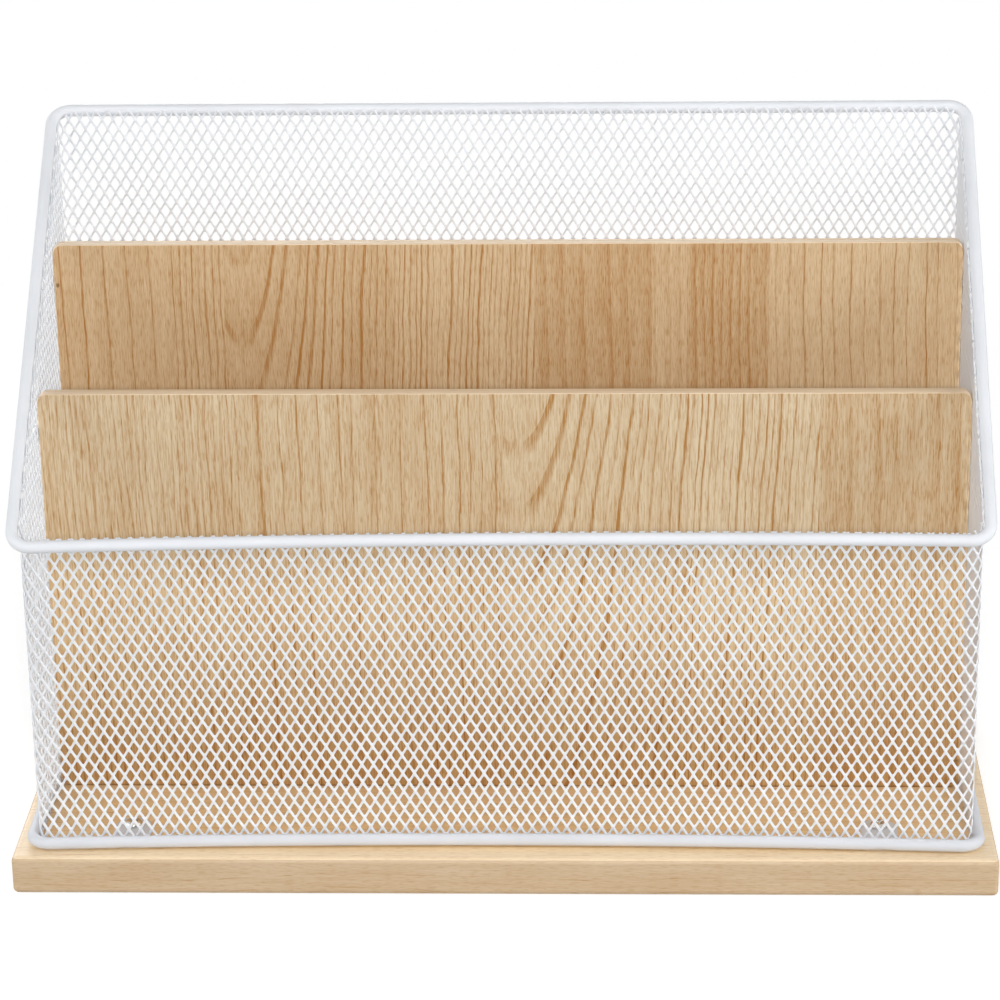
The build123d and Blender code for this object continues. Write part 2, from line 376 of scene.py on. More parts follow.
def link_wood(tree, shader, colour, fibre, line, pore, gloss, distance):
    """Joins a wood-look face: duller along fibres and lines, pressed in at lines and pores. Its gloss is the
    range of its roughness, and the sum of fibre and line at which it is dullest."""
    least, most, dullest = gloss
    roughness = tree.span(tree.plus(fibre, line), 0.0, dullest, least, most)
    relief = tree.minus(1.0, tree.math("MAXIMUM", line, tree.times(pore, 0.6)))
    link_surface(tree, shader, colour, roughness, relief, distance, 0.4)


def colour_of(values):
    return (*values, 1.0)


def shaded(colour, factor):
    return tuple(min(1.0, part * factor) for part in colour)


def coat_material(finish):
    """White powder coat: a fine orange peel, uneven in gloss and tone, made paler by painted light on the
    back wall and the lower strands and greyer by painted shade at the ring.
    """
    material, tree, shader = new_material("White powder coat", {"IOR": 1.5, "Specular IOR Level": 0.22})
    place = tree.place()
    _, depth, height = tree.split(place)
    peel = tree.noise(place, 1100, 3)
    cloud = tree.noise(place, 45, 3)
    thin = colour_of(shaded(finish.coat, 0.955))
    colour = tree.blend(tree.span(cloud, 0.35, 0.7), colour_of(finish.coat), thin)
    painted_coat_light_and_shade = (
        # Painted light: the back wall's coat made paler
        (tree.span(depth, *(part * MM for part in BACK_LIGHT_FADE)), BACK_PAINTED_LIGHT),
        # Painted light: the lower strands' coat made paler, fading out towards the top of the front
        (tree.fade_out(height, ring_high.z + SKIRT_LIGHT_START * MM, front_high.z), SKIRT_PAINTED_LIGHT),
        # Painted shade: the ring and the strands just over it made greyer
        (tree.fade_out(height, ring_high.z, ring_high.z + RING_SHADE_END * MM), RING_PAINTED_SHADE),
    )
    for share, tint in painted_coat_light_and_shade:
        colour = tree.tinted(share, colour, tint)
    roughness = tree.span(tree.plus(cloud, peel), 0.7, 1.3, 0.46, 0.6)
    link_surface(tree, shader, colour, roughness, peel, 0.03 * MM, 0.5)
    return material


def zinc_material(finish):
    """Bright zinc plate with fine turning marks and a faint stain."""
    material, tree, shader = new_material("Bright zinc", {"Metallic": 1.0})
    place = tree.place()
    stain = tree.noise(place, 420, 4)
    marks = tree.noise(place, 3200, 2)
    dull = colour_of(shaded(finish.zinc, 0.75))
    colour = tree.blend(tree.span(stain, 0.42, 0.68), colour_of(finish.zinc), dull)
    roughness = tree.span(tree.plus(stain, marks), 0.75, 1.25, 0.1, 0.24)
    link_surface(tree, shader, colour, roughness, marks, 0.02 * MM, 0.4)
    return material


def grain(tree, across, along, depth):
    """Streaks, fine fibres, short pores and slow clouds along the grain, each 0 to 1, from places in
    millimetres."""

    def drawn_out(across_scale, along_scale, detail, low, high):
        return tree.span(tree.stretched(across, along, across_scale, along_scale, depth, detail), low, high)

    streak = drawn_out(0.7, 0.03, 2, 0.34, 0.66)
    fibre = drawn_out(3.2, 0.11, 3, 0.33, 0.67)
    pore = drawn_out(3.4, 0.28, 1, 0.5, 0.64)
    cloud = drawn_out(0.11, 0.02, 3, 0.3, 0.7)
    return streak, fibre, pore, cloud


def divider_material(name, staves, tint, board, width, foot, painted_light_and_shade, chip):
    """Wood-look face with upright grain: staves of ring lines, straight or arched, a painted shadow along
    its foot at the board and a chip at a screw. When asked for, painted light brightens it below the rim and
    painted shade deepens its colour towards the foot."""
    material, tree, shader = new_material(name, {"IOR": 1.47})
    across, depth, along = tree.millimetres()
    share = tree.times_plus(across, MM / width, 0.5)
    shares = [max(0.0, stave.start * MM / width + 0.5) for stave in staves]
    shape = [(s.heart / 1000 + 0.5, s.depth / 100, s.spacing / 10, s.tilt + 0.5) for s in staves]
    looks = [(s.drift + 0.5, s.stain + 0.5, s.lines, s.band) for s in staves]
    heart, heart_depth, spacing, tilt = tree.steps(share, zip(shares, shape))
    drift, stain, lines, band = tree.steps(share, zip(shares, looks))
    heart = tree.times_plus(heart, 1000, -500)
    spacing = tree.times(spacing, 10)
    tilt = tree.minus(tilt, 0.5)
    drift = tree.minus(drift, 0.5)

    # Distance from the heart, with the slow wander of real rings
    wander = tree.times_plus(tree.stretched(across, along, 0.05, 0.022, 0.0, 3), 4.0, -2.0)
    wobble = tree.times_plus(tree.stretched(across, along, 0.16, 0.11, 5.0, 2), 0.5, -0.25)
    sideways = tree.times_plus(drift, along, tree.minus(across, heart))
    sideways = tree.plus(sideways, tree.plus(wander, wobble))
    behind = tree.times_plus(tilt, along, tree.times(heart_depth, 100))
    reach = tree.math("SQRT", tree.times_plus(behind, behind, tree.times(sideways, sideways)))
    rings = tree.math("DIVIDE", reach, spacing)
    uneven = tree.noise(tree.join(tree.times(rings, 0.55)), 1, 1)
    rings = tree.times_plus(uneven, 1.1, rings)
    past = tree.math("FRACT", rings)
    chance = tree.chance(rings)

    streak, fibre, pore, cloud = grain(tree, across, along, depth)
    line_width = tree.span(chance, 0, 1, 0.5, 0.85)
    line = tree.fade_out(tree.times(past, spacing), tree.times(line_width, 0.5), line_width)
    fades = (
        tree.span(chance, 0, 1, 0.5, 1.0), lines, tree.span(fibre, 0, 1, 0.7, 1.0),
        tree.span(tree.size(sideways), 1.0, 8.0, 0.25, 1.0),
    )
    for fade in fades:
        line = tree.times(line, fade)
    shade = tree.times(tree.math("POWER", past, 2.0), band)
    amount = tree.total(
        -0.625, (stain, 1), (streak, 0.12), (fibre, 0.34), (cloud, 0.14), (pore, 0.32), (shade, 0.25),
        (line, 0.85),
    )
    # The tint gives the rear divider its own tone and painted shade, and leaves the front as it is
    light, dark = (tuple(a * b for a, b in zip(wood, tint)) for wood in (board.light, board.dark))
    colour = tree.blend(amount, colour_of(light), colour_of(dark))
    rise = tree.minus(along, foot)
    if painted_light_and_shade:
        # Painted light below the rim, where the divider stands behind the front mesh
        colour = tree.tinted(tree.fade_out(rise, *BELOW_RIM_LIGHT_FADE), colour, BELOW_RIM_PAINTED_LIGHT)
        # Painted shade, deepening the colour towards the foot
        colour = tree.tinted(tree.fade_out(rise, *FOOT_SHADE_FADE), colour, FOOT_PAINTED_SHADE)
    from_chip = tree.distance(tree.vector("SUBTRACT", tree.join(across, 0.0, along), (chip[0], 0, chip[1])))
    chipped = tree.fade_out(tree.times_plus(streak, 0.8, from_chip), 0.8, 1.5, 0.85)
    # Painted shadow along the foot, where the divider meets the board
    foot_shadow = tree.fade_out(rise, *FOOT_SHADOW_FADE, 0.8)
    colour = tree.blend(tree.math("MAXIMUM", chipped, foot_shadow), colour, colour_of(shaded(board.dark, 0.4)))
    link_wood(tree, shader, colour, fibre, line, pore, (0.44, 0.58, 1.6), 0.04 * MM)
    return material


def base_material(name, light, dark, start, ends_turned):
    """Wood-look face with level grain: fine fibres, short dashes and a few long streaks, and painted shade
    inside the basket.
    """
    material, tree, shader = new_material(name, {"IOR": 1.47})
    x, y, z = tree.millimetres()
    across, along = tree.plus(y, z), x
    if ends_turned:
        facing = tree.split(tree.add("ShaderNodeNewGeometry")["Normal"])[0]
        end = tree.math("GREATER_THAN", tree.size(facing), 0.7)
        across = tree.add("ShaderNodeMix", {0: end, 2: across, 3: z})[0]
        along = tree.add("ShaderNodeMix", {0: end, 2: along, 3: y})[0]
    streak, fibre, pore, cloud = grain(tree, across, along, 0.0)
    wander = tree.stretched(across, along, 0.06, 0.012, 3.0, 2)
    rings = tree.times_plus(across, 0.42, tree.times(wander, 4.0))
    dash = tree.stretched(across, along, 0.8, 0.07, 8.0, 3)
    line = tree.fade_out(tree.math("FRACT", rings), 0.0, 0.22)
    for fade in (tree.span(dash, 0.44, 0.6), tree.chance(rings)):
        line = tree.times(line, fade)
    amount = tree.total(start, (streak, 0.1), (fibre, 0.09), (cloud, 0.14), (pore, 0.2), (line, 0.6))
    colour = tree.blend(amount, colour_of(light), colour_of(dark))
    # Painted shade on the face inside the basket, warmer and darker
    inner = tree.times(*(tree.fade_out(tree.size(part), *fade) for part, fade in zip((x, y), INNER_SHADE_FADES)))
    colour = tree.tinted(inner, colour, INNER_PAINTED_SHADE)
    link_wood(tree, shader, colour, fibre, line, pore, (0.42, 0.56, 1.4), 0.03 * MM)
    return material


def tape_material(name, board, back_edge, amber):
    """Pale edging, partly its own pale tape and partly painted sheen and light from above: long fibres along
    the strip, amber by its back edge, whose depth is in millimetres.
    """
    material, tree, shader = new_material(name, {"IOR": 1.47})
    x, y, z = tree.millimetres()
    streak, fibre, pore, cloud = grain(tree, y, tree.plus(x, z), 0.0)
    amount = tree.total(-0.12, (streak, 0.12), (fibre, 0.1), (cloud, 0.14), (pore, 0.12))
    stain = tree.span(y, back_edge - 3.0, back_edge - 2.0, 0.0, amber)
    colour = tree.blend(stain, colour_of(board.tape), colour_of(board.amber))
    colour = tree.blend(amount, colour, colour_of(board.dark))
    roughness = tree.span(fibre, 0, 1, 0.4, 0.55)
    link_surface(tree, shader, colour, roughness, fibre, 0.02 * MM, 0.3)
    return material


def finish_named(name, make, *values):
    """A material that pieces share, made at its first use."""
    return bpy.data.materials.get(name) or make(*values)


def coat(context):
    return finish_named("White powder coat", coat_material, context.scene.sorter.finish)


def link(name, data):
    """A new object at the origin."""
    thing = bpy.data.objects.new(name, data)
    bpy.context.scene.collection.objects.link(thing)
    return thing


def discard(*things):
    """Removes helper objects and what they hold."""
    for thing in things:
        data = thing.data
        bpy.data.objects.remove(thing)
        (bpy.data.curves if isinstance(data, bpy.types.Curve) else bpy.data.meshes).remove(data)


def mesh_from(bm, name):
    """A plain mesh from a bmesh, which is freed."""
    mesh = bpy.data.meshes.new(name)
    bm.to_mesh(mesh)
    bm.free()
    return mesh


def settle(thing):
    """Turns an object's modifiers into its plain mesh and removes them."""
    graph = bpy.context.evaluated_depsgraph_get()
    before = thing.data
    thing.data = bpy.data.meshes.new_from_object(thing.evaluated_get(graph), depsgraph=graph)
    thing.modifiers.clear()
    bpy.data.meshes.remove(before)
    thing.data.name = thing.name
    return thing


def grow(thing, tree, values):
    """Runs a Geometry Nodes tree on an object and keeps the result as its plain mesh."""
    modifier = thing.modifiers.new(tree.name, "NODES")
    modifier.node_group = tree
    for item in tree.interface.items_tree:
        if item.name in values:
            modifier[item.identifier] = values[item.name]
    return settle(thing)


def finish_piece(thing, slot, *nodes):
    """Hands a finished piece to the frame, in place of its nodes."""
    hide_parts(*nodes)
    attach(thing, "root")


def new_tree(name, inputs):
    """An empty Geometry Nodes tree with named inputs, and the outputs of its group input."""
    group = bpy.data.node_groups.new(name, "GeometryNodeTree")
    for label, kind in inputs.items():
        group.interface.new_socket(label, in_out="INPUT", socket_type=f"NodeSocket{kind}")
    group.interface.new_socket("Geometry", in_out="OUTPUT", socket_type="NodeSocketGeometry")
    tree = Tree(group)
    return tree, tree.add("NodeGroupInput")


def end_tree(tree, geometry, material, smooth=True):
    """Closes a tree with real geometry and one material, its faces smooth or as they came."""
    geometry = tree.add("GeometryNodeRealizeInstances", {0: geometry})[0]
    if smooth:
        geometry = tree.add("GeometryNodeSetShadeSmooth", {"Geometry": geometry})[0]
    geometry = tree.add("GeometryNodeSetMaterial", {"Geometry": geometry, "Material": material})[0]
    tree.add("NodeGroupOutput", {0: geometry})
    return tree.tree


def rounded_loop(corners, radius, steps):
    """Points of a closed loop with round corners, from the middle of its last run to its first corner on."""
    points = [(corners[-1] + corners[0]) / 2]
    for number, corner in enumerate(corners):
        onward = (corners[(number + 1) % len(corners)] - corner).normalized()
        coming = (corner - corners[number - 1]).normalized()
        turn = coming.angle(onward)
        inward = (onward - coming * onward.dot(coming)).normalized()
        start = corner - coming * radius * math.tan(turn / 2)
        centre = start + inward * radius
        for step in range(steps + 1):
            angle = turn * step / steps
            points.append(centre + radius * (coming * math.sin(angle) - inward * math.cos(angle)))
    return points


def drawn_in(points, bow):
    """A loop's points with its front run, which starts and ends at its middle, bowed in."""

    def bowed(share):
        end = points[1] if share > 0 else points[-1]
        return points[0].lerp(end, abs(share)) + Vector((0, bow * (1 - share ** 2), 0))

    right = [bowed(step / BOW_STEPS) for step in range(BOW_STEPS)]
    left = [bowed(step / BOW_STEPS - 1) for step in range(1, BOW_STEPS)]
    return right + points[1:] + left


def sag(x, y, dip):
    """How low the rim sits at a place: most at its front left corner, not at all along its back."""
    left = 0.5 - x / (2 * sheet_half_width)
    front = max(0.0, 0.5 - y / (2 * sheet_half_depth))
    return dip * front * (0.15 + 0.85 * left)


def loop_corners(half_width, half_depth, front_level, back_level):
    """Corners of a level or sloping loop, from the front right, seen from the front."""
    return [
        Vector((half_width, -half_depth, front_level)),
        Vector((half_width, half_depth, back_level)),
        Vector((-half_width, half_depth, back_level)),
        Vector((-half_width, -half_depth, front_level)),
    ]


def path_object(name, points):
    """A closed curve through points."""
    curve = bpy.data.curves.new(name, "CURVE")
    curve.dimensions = "3D"
    spline = curve.splines.new("POLY")
    spline.points.add(len(points) - 1)
    for spot, point in zip(spline.points, points):
        spot.co = (*point, 1.0)
    spline.use_cyclic_u = True
    return link(name, curve)


def loop_length(points):
    return sum((point - points[number - 1]).length for number, point in enumerate(points))


def strand_cell(sheet, across, width):
    """One knot of the sheet and the two strands that rise from it, facing -Y, the knot at the origin."""
    half = width / 2
    far = Vector((across / 2, sheet.pitch_up / 2))
    along = far.normalized()
    right = Vector((along.y, -along.x))
    cosine, sine = along
    lean_out = math.tan(sheet.tilt)
    side_corner = Vector((half / sine + sheet.fillet * (1 / sine - 1), 0))
    top_corner = Vector((0, half / cosine + sheet.fillet * (1 / cosine - 1)))
    near_right = right * half + along * (half + sheet.fillet) * cosine / sine
    near_left = -right * half + along * (half + sheet.fillet) * sine / cosine
    bulges = {"side": Vector((1, 0)), "top": Vector((0, 1)), "right": right, "left": -right}
    levels = ((-sheet.strand_gauge / 2, 0.0), (0.0, sheet.bulge), (sheet.strand_gauge / 2, 0.0))

    bm = bmesh.new()
    found = {}

    def column(point, bulge, mirror):
        """The outer, middle and inner vertex at a point of the strand's edge."""
        vertices = []
        for level, amount in levels:
            flat = point + bulge * amount
            x, z = flat.x * mirror[0], flat.y * mirror[1]
            off_middle = flat.x - flat.y * cosine / sine if bulge.y != 1 and flat.y else flat.x
            place = Vector((x, level + lean_out * off_middle * mirror[0], z))
            key = tuple(round(part / MM, 4) for part in place)
            found[key] = found.get(key) or bm.verts.new(place)
            vertices.append(found[key])
        return vertices

    def bridge(start_right, end_right, end_left, start_left, flip):
        """The six faces of a stretch of strand between two cuts across it."""
        faces = [
            (start_right[0], end_right[0], end_left[0], start_left[0]),
            (start_left[2], end_left[2], end_right[2], start_right[2]),
        ]
        for upper, lower in ((0, 1), (1, 2)):
            faces.append((end_right[upper], start_right[upper], start_right[lower], end_right[lower]))
            faces.append((start_left[upper], end_left[upper], end_left[lower], start_left[lower]))
        for face in faces:
            bm.faces.new(reversed(face) if flip else face)

    for mirror in ((1, 1), (-1, 1), (-1, -1), (1, -1)):
        flip = mirror[0] * mirror[1] < 0
        root_right = column(side_corner, bulges["side"], mirror)
        root_left = column(top_corner, bulges["top"], mirror)
        end_right = column(near_right, bulges["right"], mirror)
        end_left = column(near_left, bulges["left"], mirror)
        bridge(root_right, end_right, end_left, root_left, flip)
        if mirror[1] > 0:
            far_right = column(far - near_left, bulges["right"], mirror)
            far_left = column(far - near_right, bulges["left"], mirror)
            bridge(end_right, far_right, far_left, end_left, flip)
    ends = [
        column(corner, bulges[way], mirror)
        for corner, way, mirror in (
            (side_corner, "side", (1, 1)), (top_corner, "top", (1, 1)),
            (side_corner, "side", (-1, 1)), (top_corner, "top", (1, -1)),
        )
    ]
    bm.faces.new([end[0] for end in ends])
    bm.faces.new([end[2] for end in reversed(ends)])
    return link("strand_cell", mesh_from(bm, "strand_cell"))


def net_tree():
    """Tree: a flat sheet of knots in staggered rows, in the XZ plane."""
    tree, inputs = new_tree("Expanded sheet", {
        "Cell": "Object", "First Column": "Int", "Columns": "Int", "Rows": "Int",
        "Pitch Across": "Float", "Pitch Up": "Float", "Base": "Float", "Start": "Float", "Lean": "Float",
        "Bottom": "Float", "Build-up": "Float", "Build-up Top": "Float", "Material": "Material",
    })
    index = tree.add("GeometryNodeInputIndex")[0]
    row = tree.math("FLOOR", tree.math("DIVIDE", index, inputs["Columns"]))
    column = tree.math("MODULO", index, inputs["Columns"])
    stagger = tree.times(tree.math("MODULO", row, 2.0), 0.5)
    column = tree.plus(tree.plus(column, inputs["First Column"]), stagger)
    x = tree.times(column, inputs["Pitch Across"])
    z = tree.times_plus(row, tree.times(inputs["Pitch Up"], 0.5), inputs["Base"])
    count = tree.times(inputs["Columns"], inputs["Rows"])
    points = tree.add("GeometryNodePoints", {"Count": count, "Position": tree.join(x, 0.0, z)})[0]
    cell = tree.add("GeometryNodeObjectInfo", {"Object": inputs["Cell"]})["Geometry"]
    sheet = tree.add("GeometryNodeInstanceOnPoints", {"Points": points, "Instance": cell})[0]
    sheet = tree.add("GeometryNodeRealizeInstances", {0: sheet})[0]
    sheet = tree.add("GeometryNodeMergeByDistance", {"Geometry": sheet, "Distance": 0.01 * MM})[0]
    height = tree.split(tree.add("GeometryNodeInputPosition")[0])[2]
    shift = tree.join(tree.times_plus(height, inputs["Lean"], inputs["Start"]))
    extra = tree.span(height, inputs["Bottom"], inputs["Build-up Top"], inputs["Build-up"], 0.0)
    outward = tree.vector("MULTIPLY", tree.add("GeometryNodeInputNormal")[0], (1, 0, 1))
    shift = tree.vector("ADD", shift, tree.scaled(outward, extra))
    sheet = tree.add("GeometryNodeSetPosition", {"Geometry": sheet, "Offset": shift})[0]
    return end_tree(tree, sheet, inputs["Material"])


def bend_tree():
    """Tree: a flat sheet in the XZ plane bent round an upright wall that stands on a closed path."""
    tree, inputs = new_tree("Bend round path", {
        "Sheet": "Geometry", "Path": "Object", "Material": "Material",
    })
    path = tree.add("GeometryNodeObjectInfo", {"Object": inputs["Path"]})["Geometry"]
    length = tree.add("GeometryNodeCurveLength", {0: path})[0]
    x, y, z = tree.split(tree.add("GeometryNodeInputPosition")[0])
    run = tree.math("FLOORED_MODULO", x, length)
    sample = {"Curves": path, "Length": run}
    spot = tree.add("GeometryNodeSampleCurve", sample, mode="LENGTH", use_all_curves=True)
    inward = tree.vector("NORMALIZE", tree.vector("CROSS_PRODUCT", tuple(UP), spot["Tangent"]))
    place = tree.vector("ADD", spot["Position"], tree.scaled(inward, y))
    place = tree.vector("ADD", place, tree.join(0.0, 0.0, z))
    sheet = tree.add("GeometryNodeSetPosition", {"Geometry": inputs["Sheet"], "Position": place})[0]
    return end_tree(tree, sheet, inputs["Material"], smooth=False)


def trim(thing, planes):
    """Cuts a mesh off outside planes, each a point and an outward direction, and closes the cuts."""
    bm = bmesh.new()
    bm.from_mesh(thing.data)
    for point, outward in planes:
        everything = bm.verts[:] + bm.edges[:] + bm.faces[:]
        cut = bmesh.ops.bisect_plane(bm, geom=everything, plane_co=point, plane_no=outward, clear_outer=True)
        edges = [part for part in cut["geom_cut"] if isinstance(part, bmesh.types.BMEdge)]
        bmesh.ops.edgeloop_fill(bm, edges=edges, use_smooth=False)
    bm.to_mesh(thing.data)
    bm.free()


class SORTER_OT_sheet(Operator):
    """Makes the mesh walls from expanded sheet bent round the basket"""

    bl_idname = "sorter.sheet"
    bl_label = "Mesh Walls"

    def execute(self, context):
        sheet, wire = context.scene.sorter.sheet, context.scene.sorter.wire
        corners = loop_corners(sheet_half_width, sheet_half_depth, 0, 0)
        points = drawn_in(rounded_loop(corners, sheet_bend_radius, SHEET_BEND_STEPS), wire.bow)
        path = path_object("sheet_path", points)
        length = loop_length(points)
        across = length / sheet.columns
        cell = strand_cell(sheet, across, sheet.strand_width)
        back_cell = strand_cell(sheet, across, sheet.back_strand_width)
        net, bend = net_tree(), bend_tree()

        # Runs round the basket from the middle of the front: piece, node, its ends and its tops there
        half, quarter = flat_half_width, length / 2 - flat_half_width
        high = back_top - sheet.top_drop
        low_left, low, low_right = (
            front_high.z + sheet.tip_rise - sag(x, -sheet_half_depth, wire.dip) for x in (-half, 0, half)
        )
        third = 2 * half / 3
        slack = 3 * across
        base = front_low.z + sheet.knot_level - sheet.pitch_up
        runs = [
            ("front_mesh_left", "front_mesh", -half, 0, low_left, low),
            ("front_mesh_right", "front_mesh", 0, half, low, low_right),
            ("right_mesh_wall", "right_mesh", half, quarter, low_right, high),
            ("left_mesh_wall", "left_mesh", -quarter, -half, high, low_left),
        ]
        for number, label in enumerate(("right", "middle", "left")):
            start = quarter + number * third
            runs.append((f"back_mesh_{label}", "back_mesh", start, start + third, high, high))
        for name, node, start, end, start_top, end_top in runs:
            top = max(start_top, end_top)
            first = math.floor((start - slack) / across)
            wall = grow(link(name, bpy.data.meshes.new(name)), net, {
                "Cell": back_cell if node == "back_mesh" else cell, "First Column": first,
                "Columns": math.ceil((end + 3 * slack) / across) - first,
                "Rows": math.ceil((top - base) / (sheet.pitch_up / 2)) + 3, "Pitch Across": across,
                "Pitch Up": sheet.pitch_up, "Base": base, "Start": sheet.knot_place,
                "Lean": math.tan(sheet.lean), "Bottom": front_low.z, "Build-up": sheet.build_up,
                "Build-up Top": front_low.z + sheet.build_up_height, "Material": coat(context),
            })
            rise = Vector((start_top - end_top, 0, end - start))
            trim(wall, [
                (Vector((start, 0, 0)), Vector((-1, 0, 0))),
                (Vector((end, 0, 0)), Vector((1, 0, 0))),
                (Vector((0, 0, front_low.z)), -UP),
                (Vector((start, 0, start_top)), rise.normalized()),
            ])
            grow(wall, bend, {"Path": path, "Material": coat(context)})
            finish_piece(wall, "white_coat", node)
        discard(cell, back_cell, path)
        return {"FINISHED"}


def wire_tree():
    """Tree: a round wire along a closed path."""
    tree, inputs = new_tree("Wire on path", {
        "Path": "Object", "Radius": "Float", "Sides": "Int", "Step": "Float", "Material": "Material",
    })
    path = tree.add("GeometryNodeObjectInfo", {"Object": inputs["Path"]})["Geometry"]
    path = tree.add("GeometryNodeResampleCurve", {"Curve": path, "Length": inputs["Step"]}, mode="LENGTH")[0]
    circle = {"Resolution": inputs["Sides"], "Radius": inputs["Radius"]}
    circle = tree.add("GeometryNodeCurvePrimitiveCircle", circle)["Curve"]
    wire = tree.add("GeometryNodeCurveToMesh", {"Curve": path, "Profile Curve": circle})[0]
    return end_tree(tree, wire, inputs["Material"])


class SORTER_OT_wire(Operator):
    """Bends the top rim and the bottom ring from round wire"""

    bl_idname = "sorter.wire"
    bl_label = "Rim and Ring"

    def execute(self, context):
        wire = context.scene.sorter.wire
        tree = wire_tree()
        half_width, half_depth = ring_high.x - wire_radius, ring_high.y - wire_radius
        ring_level = ring_low.z + wire_radius
        loops = {
            "top_rim": (rim_low.z + wire_radius, rim_high.z - wire_radius),
            "bottom_ring": (ring_level, ring_level),
        }
        for node, levels in loops.items():
            corners = loop_corners(half_width, half_depth, *levels)
            points = drawn_in(rounded_loop(corners, wire_bend_radius, WIRE_BEND_STEPS), wire.bow)
            if node == "top_rim":
                points = [point - UP * sag(point.x, point.y, wire.dip) for point in points]
            path = path_object(f"{node}_path", points)
            piece = grow(link(f"{node}_wire", bpy.data.meshes.new(node)), tree, {
                "Path": path, "Radius": wire_radius, "Sides": wire.sides, "Step": wire.step,
                "Material": coat(context),
            })
            discard(path)
            if node == "bottom_ring":
                self.press(piece.data, wire, half_depth)
            finish_piece(piece, "white_coat", node)
        return {"FINISHED"}

    def press(self, mesh, wire, half_depth):
        """Presses the ring's underside in where a tab was welded to it."""
        tab_low, tab_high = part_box("front_right_tab")
        tab_x = (tab_low.x + tab_high.x) / 2
        level = ring_low.z + wire_radius
        for vertex in mesh.vertices:
            off = (abs(vertex.co.x) - tab_x) / (wire.dent_length / 2)
            if abs(off) < 1 and vertex.co.z < level and abs(abs(vertex.co.y) - half_depth) < 2 * wire_radius:
                down = (level - vertex.co.z) / wire_radius
                vertex.co.z += wire.dent_depth * down ** 2 * (0.5 + 0.5 * math.cos(math.pi * off))


def lathe(profile, segments):
    """A closed turned shape about Z from (radius, height) points, from its lower to its upper end."""
    bm = bmesh.new()
    rings = []
    for radius, height in profile:
        if radius == 0:
            rings.append([bm.verts.new((0, 0, height))])
            continue
        angles = [2 * math.pi * number / segments for number in range(segments)]
        rings.append([bm.verts.new((radius * math.cos(a), radius * math.sin(a), height)) for a in angles])
    for lower, upper in zip(rings, rings[1:]):
        for number in range(segments):
            after = (number + 1) % segments
            corners = [lower[number % len(lower)], lower[after % len(lower)]]
            corners += [upper[after % len(upper)], upper[number % len(upper)]]
            bm.faces.new(dict.fromkeys(corners))
    return bm


def prism(outline, end_outline, level, end_level):
    """A closed block between two outlines with as many points, given anticlockwise, at two levels."""
    bm = bmesh.new()
    lower = [bm.verts.new((*point, level)) for point in outline]
    upper = [bm.verts.new((*point, end_level)) for point in end_outline]
    for number in range(len(outline)):
        bm.faces.new((lower[number - 1], lower[number], upper[number], upper[number - 1]))
    bm.faces.new(reversed(lower))
    bm.faces.new(upper)
    return bm


def cut_away(thing, tool):
    """Subtracts a tool object from a piece and discards the tool."""
    modifier = thing.modifiers.new("Cut", "BOOLEAN")
    modifier.object = tool
    modifier.solver = "EXACT"
    settle(thing)
    discard(tool)


def screw_blank(screw):
    """One screw, head up, with the underside of its head at the origin."""
    head, rise, shank = screw.head_radius, screw.head_height, screw.shank_radius
    lip = 0.12 * rise
    profile = [(0, -screw.length), (0.35 * shank, -0.93 * screw.length)]
    profile += [(shank, -0.8 * screw.length), (shank, 0)]
    profile += [(head - lip, 0), (head - 0.3 * lip, 0.3 * lip), (head, lip), (head, 0.3 * rise)]
    for step in range(1, 7):
        angle = math.pi / 2 * step / 7
        profile.append((head * (0.45 + 0.55 * math.cos(angle)), rise * (0.3 + 0.66 * math.sin(angle))))
    profile += [(0.45 * head, 0.965 * rise), (0.2 * head, 0.99 * rise), (0, rise)]
    thing = link("screw_blank", mesh_from(lathe(profile, SCREW_SEGMENTS), "screw_blank"))

    def cross(length, width):
        """A plus-shaped outline, anticlockwise."""
        reach, half = length / 2, width / 2
        quarter = [(reach, -half), (reach, half), (half, half)]
        outline = []
        for turn in range(4):
            spin = Matrix.Rotation(turn * math.pi / 2, 2)
            outline += [tuple(spin @ Vector(point)) for point in quarter]
        return outline

    floor, lift = 0.62, 0.5 * rise
    widen = 1 + (1 - floor) * lift / screw.recess_depth
    lower = cross(screw.recess_length * floor, screw.recess_width * 0.7)
    upper = cross(screw.recess_length * widen, screw.recess_width * 1.1)
    tool = link("recess", mesh_from(prism(lower, upper, rise - screw.recess_depth, rise + lift), "recess"))
    cut_away(thing, tool)
    return thing


def screw_tree():
    """Tree: screws on points, each turned from Z to the point's facing and stopped at its own angle."""
    tree, inputs = new_tree("Screws on points", {
        "Points": "Geometry", "Screw": "Object", "Seed": "Int", "Material": "Material",
    })
    facing = tree.add("GeometryNodeInputNamedAttribute", {"Name": "facing"}, data_type="FLOAT_VECTOR")[0]
    limits = {"Min": 0.0, "Max": math.tau, "Seed": inputs["Seed"]}
    turns = tree.add("FunctionNodeRandomValue", limits, data_type="FLOAT")
    turn = next(output for output in turns if output.enabled)
    stop = tree.add("FunctionNodeAxisAngleToRotation", {"Axis": tuple(UP), "Angle": turn})[0]
    aimed = tree.add("FunctionNodeAlignRotationToVector", {"Rotation": stop, "Vector": facing}, axis="Z")[0]
    screw = tree.add("GeometryNodeObjectInfo", {"Object": inputs["Screw"]})["Geometry"]
    places = {"Points": inputs["Points"], "Instance": screw, "Rotation": aimed}
    return end_tree(tree, tree.add("GeometryNodeInstanceOnPoints", places)[0], inputs["Material"])


